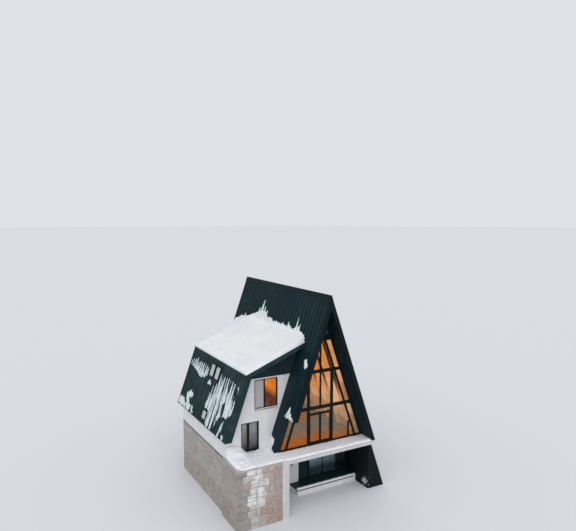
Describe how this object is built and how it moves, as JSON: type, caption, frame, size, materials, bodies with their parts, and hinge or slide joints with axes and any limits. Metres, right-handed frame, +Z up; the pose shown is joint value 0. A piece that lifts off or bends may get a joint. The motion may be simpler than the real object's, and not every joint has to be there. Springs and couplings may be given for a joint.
{
  "type": "a-frame cabin",
  "caption": "Steep a-frame house with a glazed front gable, a snowy side wing under a folded roof, a deck on stone walls and a recessed ground storey.",
  "frame": {"origin": "on the lowest ground, under the middle of the house's box", "axes": "+X to the right as one looks at the glazed front, +Y back along the ridge, +Z up"},
  "size_m": [12.077, 13.006, 14.3843],
  "materials": {
    "roof_metal": "matt painted standing seam sheet",
    "trim_metal": "matt painted sheet",
    "boards": "dark stained boards",
    "plaster": "painted plaster",
    "stone": "rough cut stone",
    "concrete": "plain concrete",
    "snow": "settled snow",
    "timber": "oiled timber",
    "frame_wood": "dark stained timber",
    "glass": "clear float glass"
  },
  "bodies": {
    "house": {"left_roof": "roof_metal", "right_roof": "roof_metal", "ridge_cap": "trim_metal", "front_bargeboards": "trim_metal", "back_bargeboards": "trim_metal", "rafters": "timber", "front_frame": "frame_wood", "deck_doors": "frame_wood", "front_glass": "glass", "back_wall": "plaster", "gable_boards": "boards", "back_windows": "frame_wood", "hall_floor": "concrete", "balcony_slab": "plaster", "terrace_slab": "concrete", "retaining_wall": "stone", "terrace_side_wall": "stone", "end_pillar": "plaster", "wall_lamp": "trim_metal", "deck_snow": "snow", "wing_front_wall": "plaster", "wing_side_wall": "plaster", "wing_back_wall": "plaster", "wing_steep_roof": "roof_metal", "wing_upper_roof": "roof_metal", "wing_bargeboards": "trim_metal", "wing_snow": "snow", "wing_floor": "concrete", "wing_upper_floor": "timber", "wing_windows": "frame_wood", "window_glass": "glass", "roof_windows": "trim_metal", "roof_glass": "glass", "right_base_wall": "boards", "right_cheek": "boards", "recess_walls": "plaster", "base_back_walls": "stone", "ground_floor": "concrete", "entrance_floor": "concrete", "door_jambs": "frame_wood", "entrance_frame": "frame_wood", "entrance_glass": "glass", "door_hinges": "trim_metal"},
    "door": {"entrance_door": "boards", "door_handle": "trim_metal"}
  },
  "joints": [
    {"name": "entrance_door_hinge", "type": "hinge", "parent": "house", "child": "door", "pos_m": [0.5352, -2.727, 1.475], "axis": [0, 0, 1], "range_deg": [0, 95]}
  ]
}
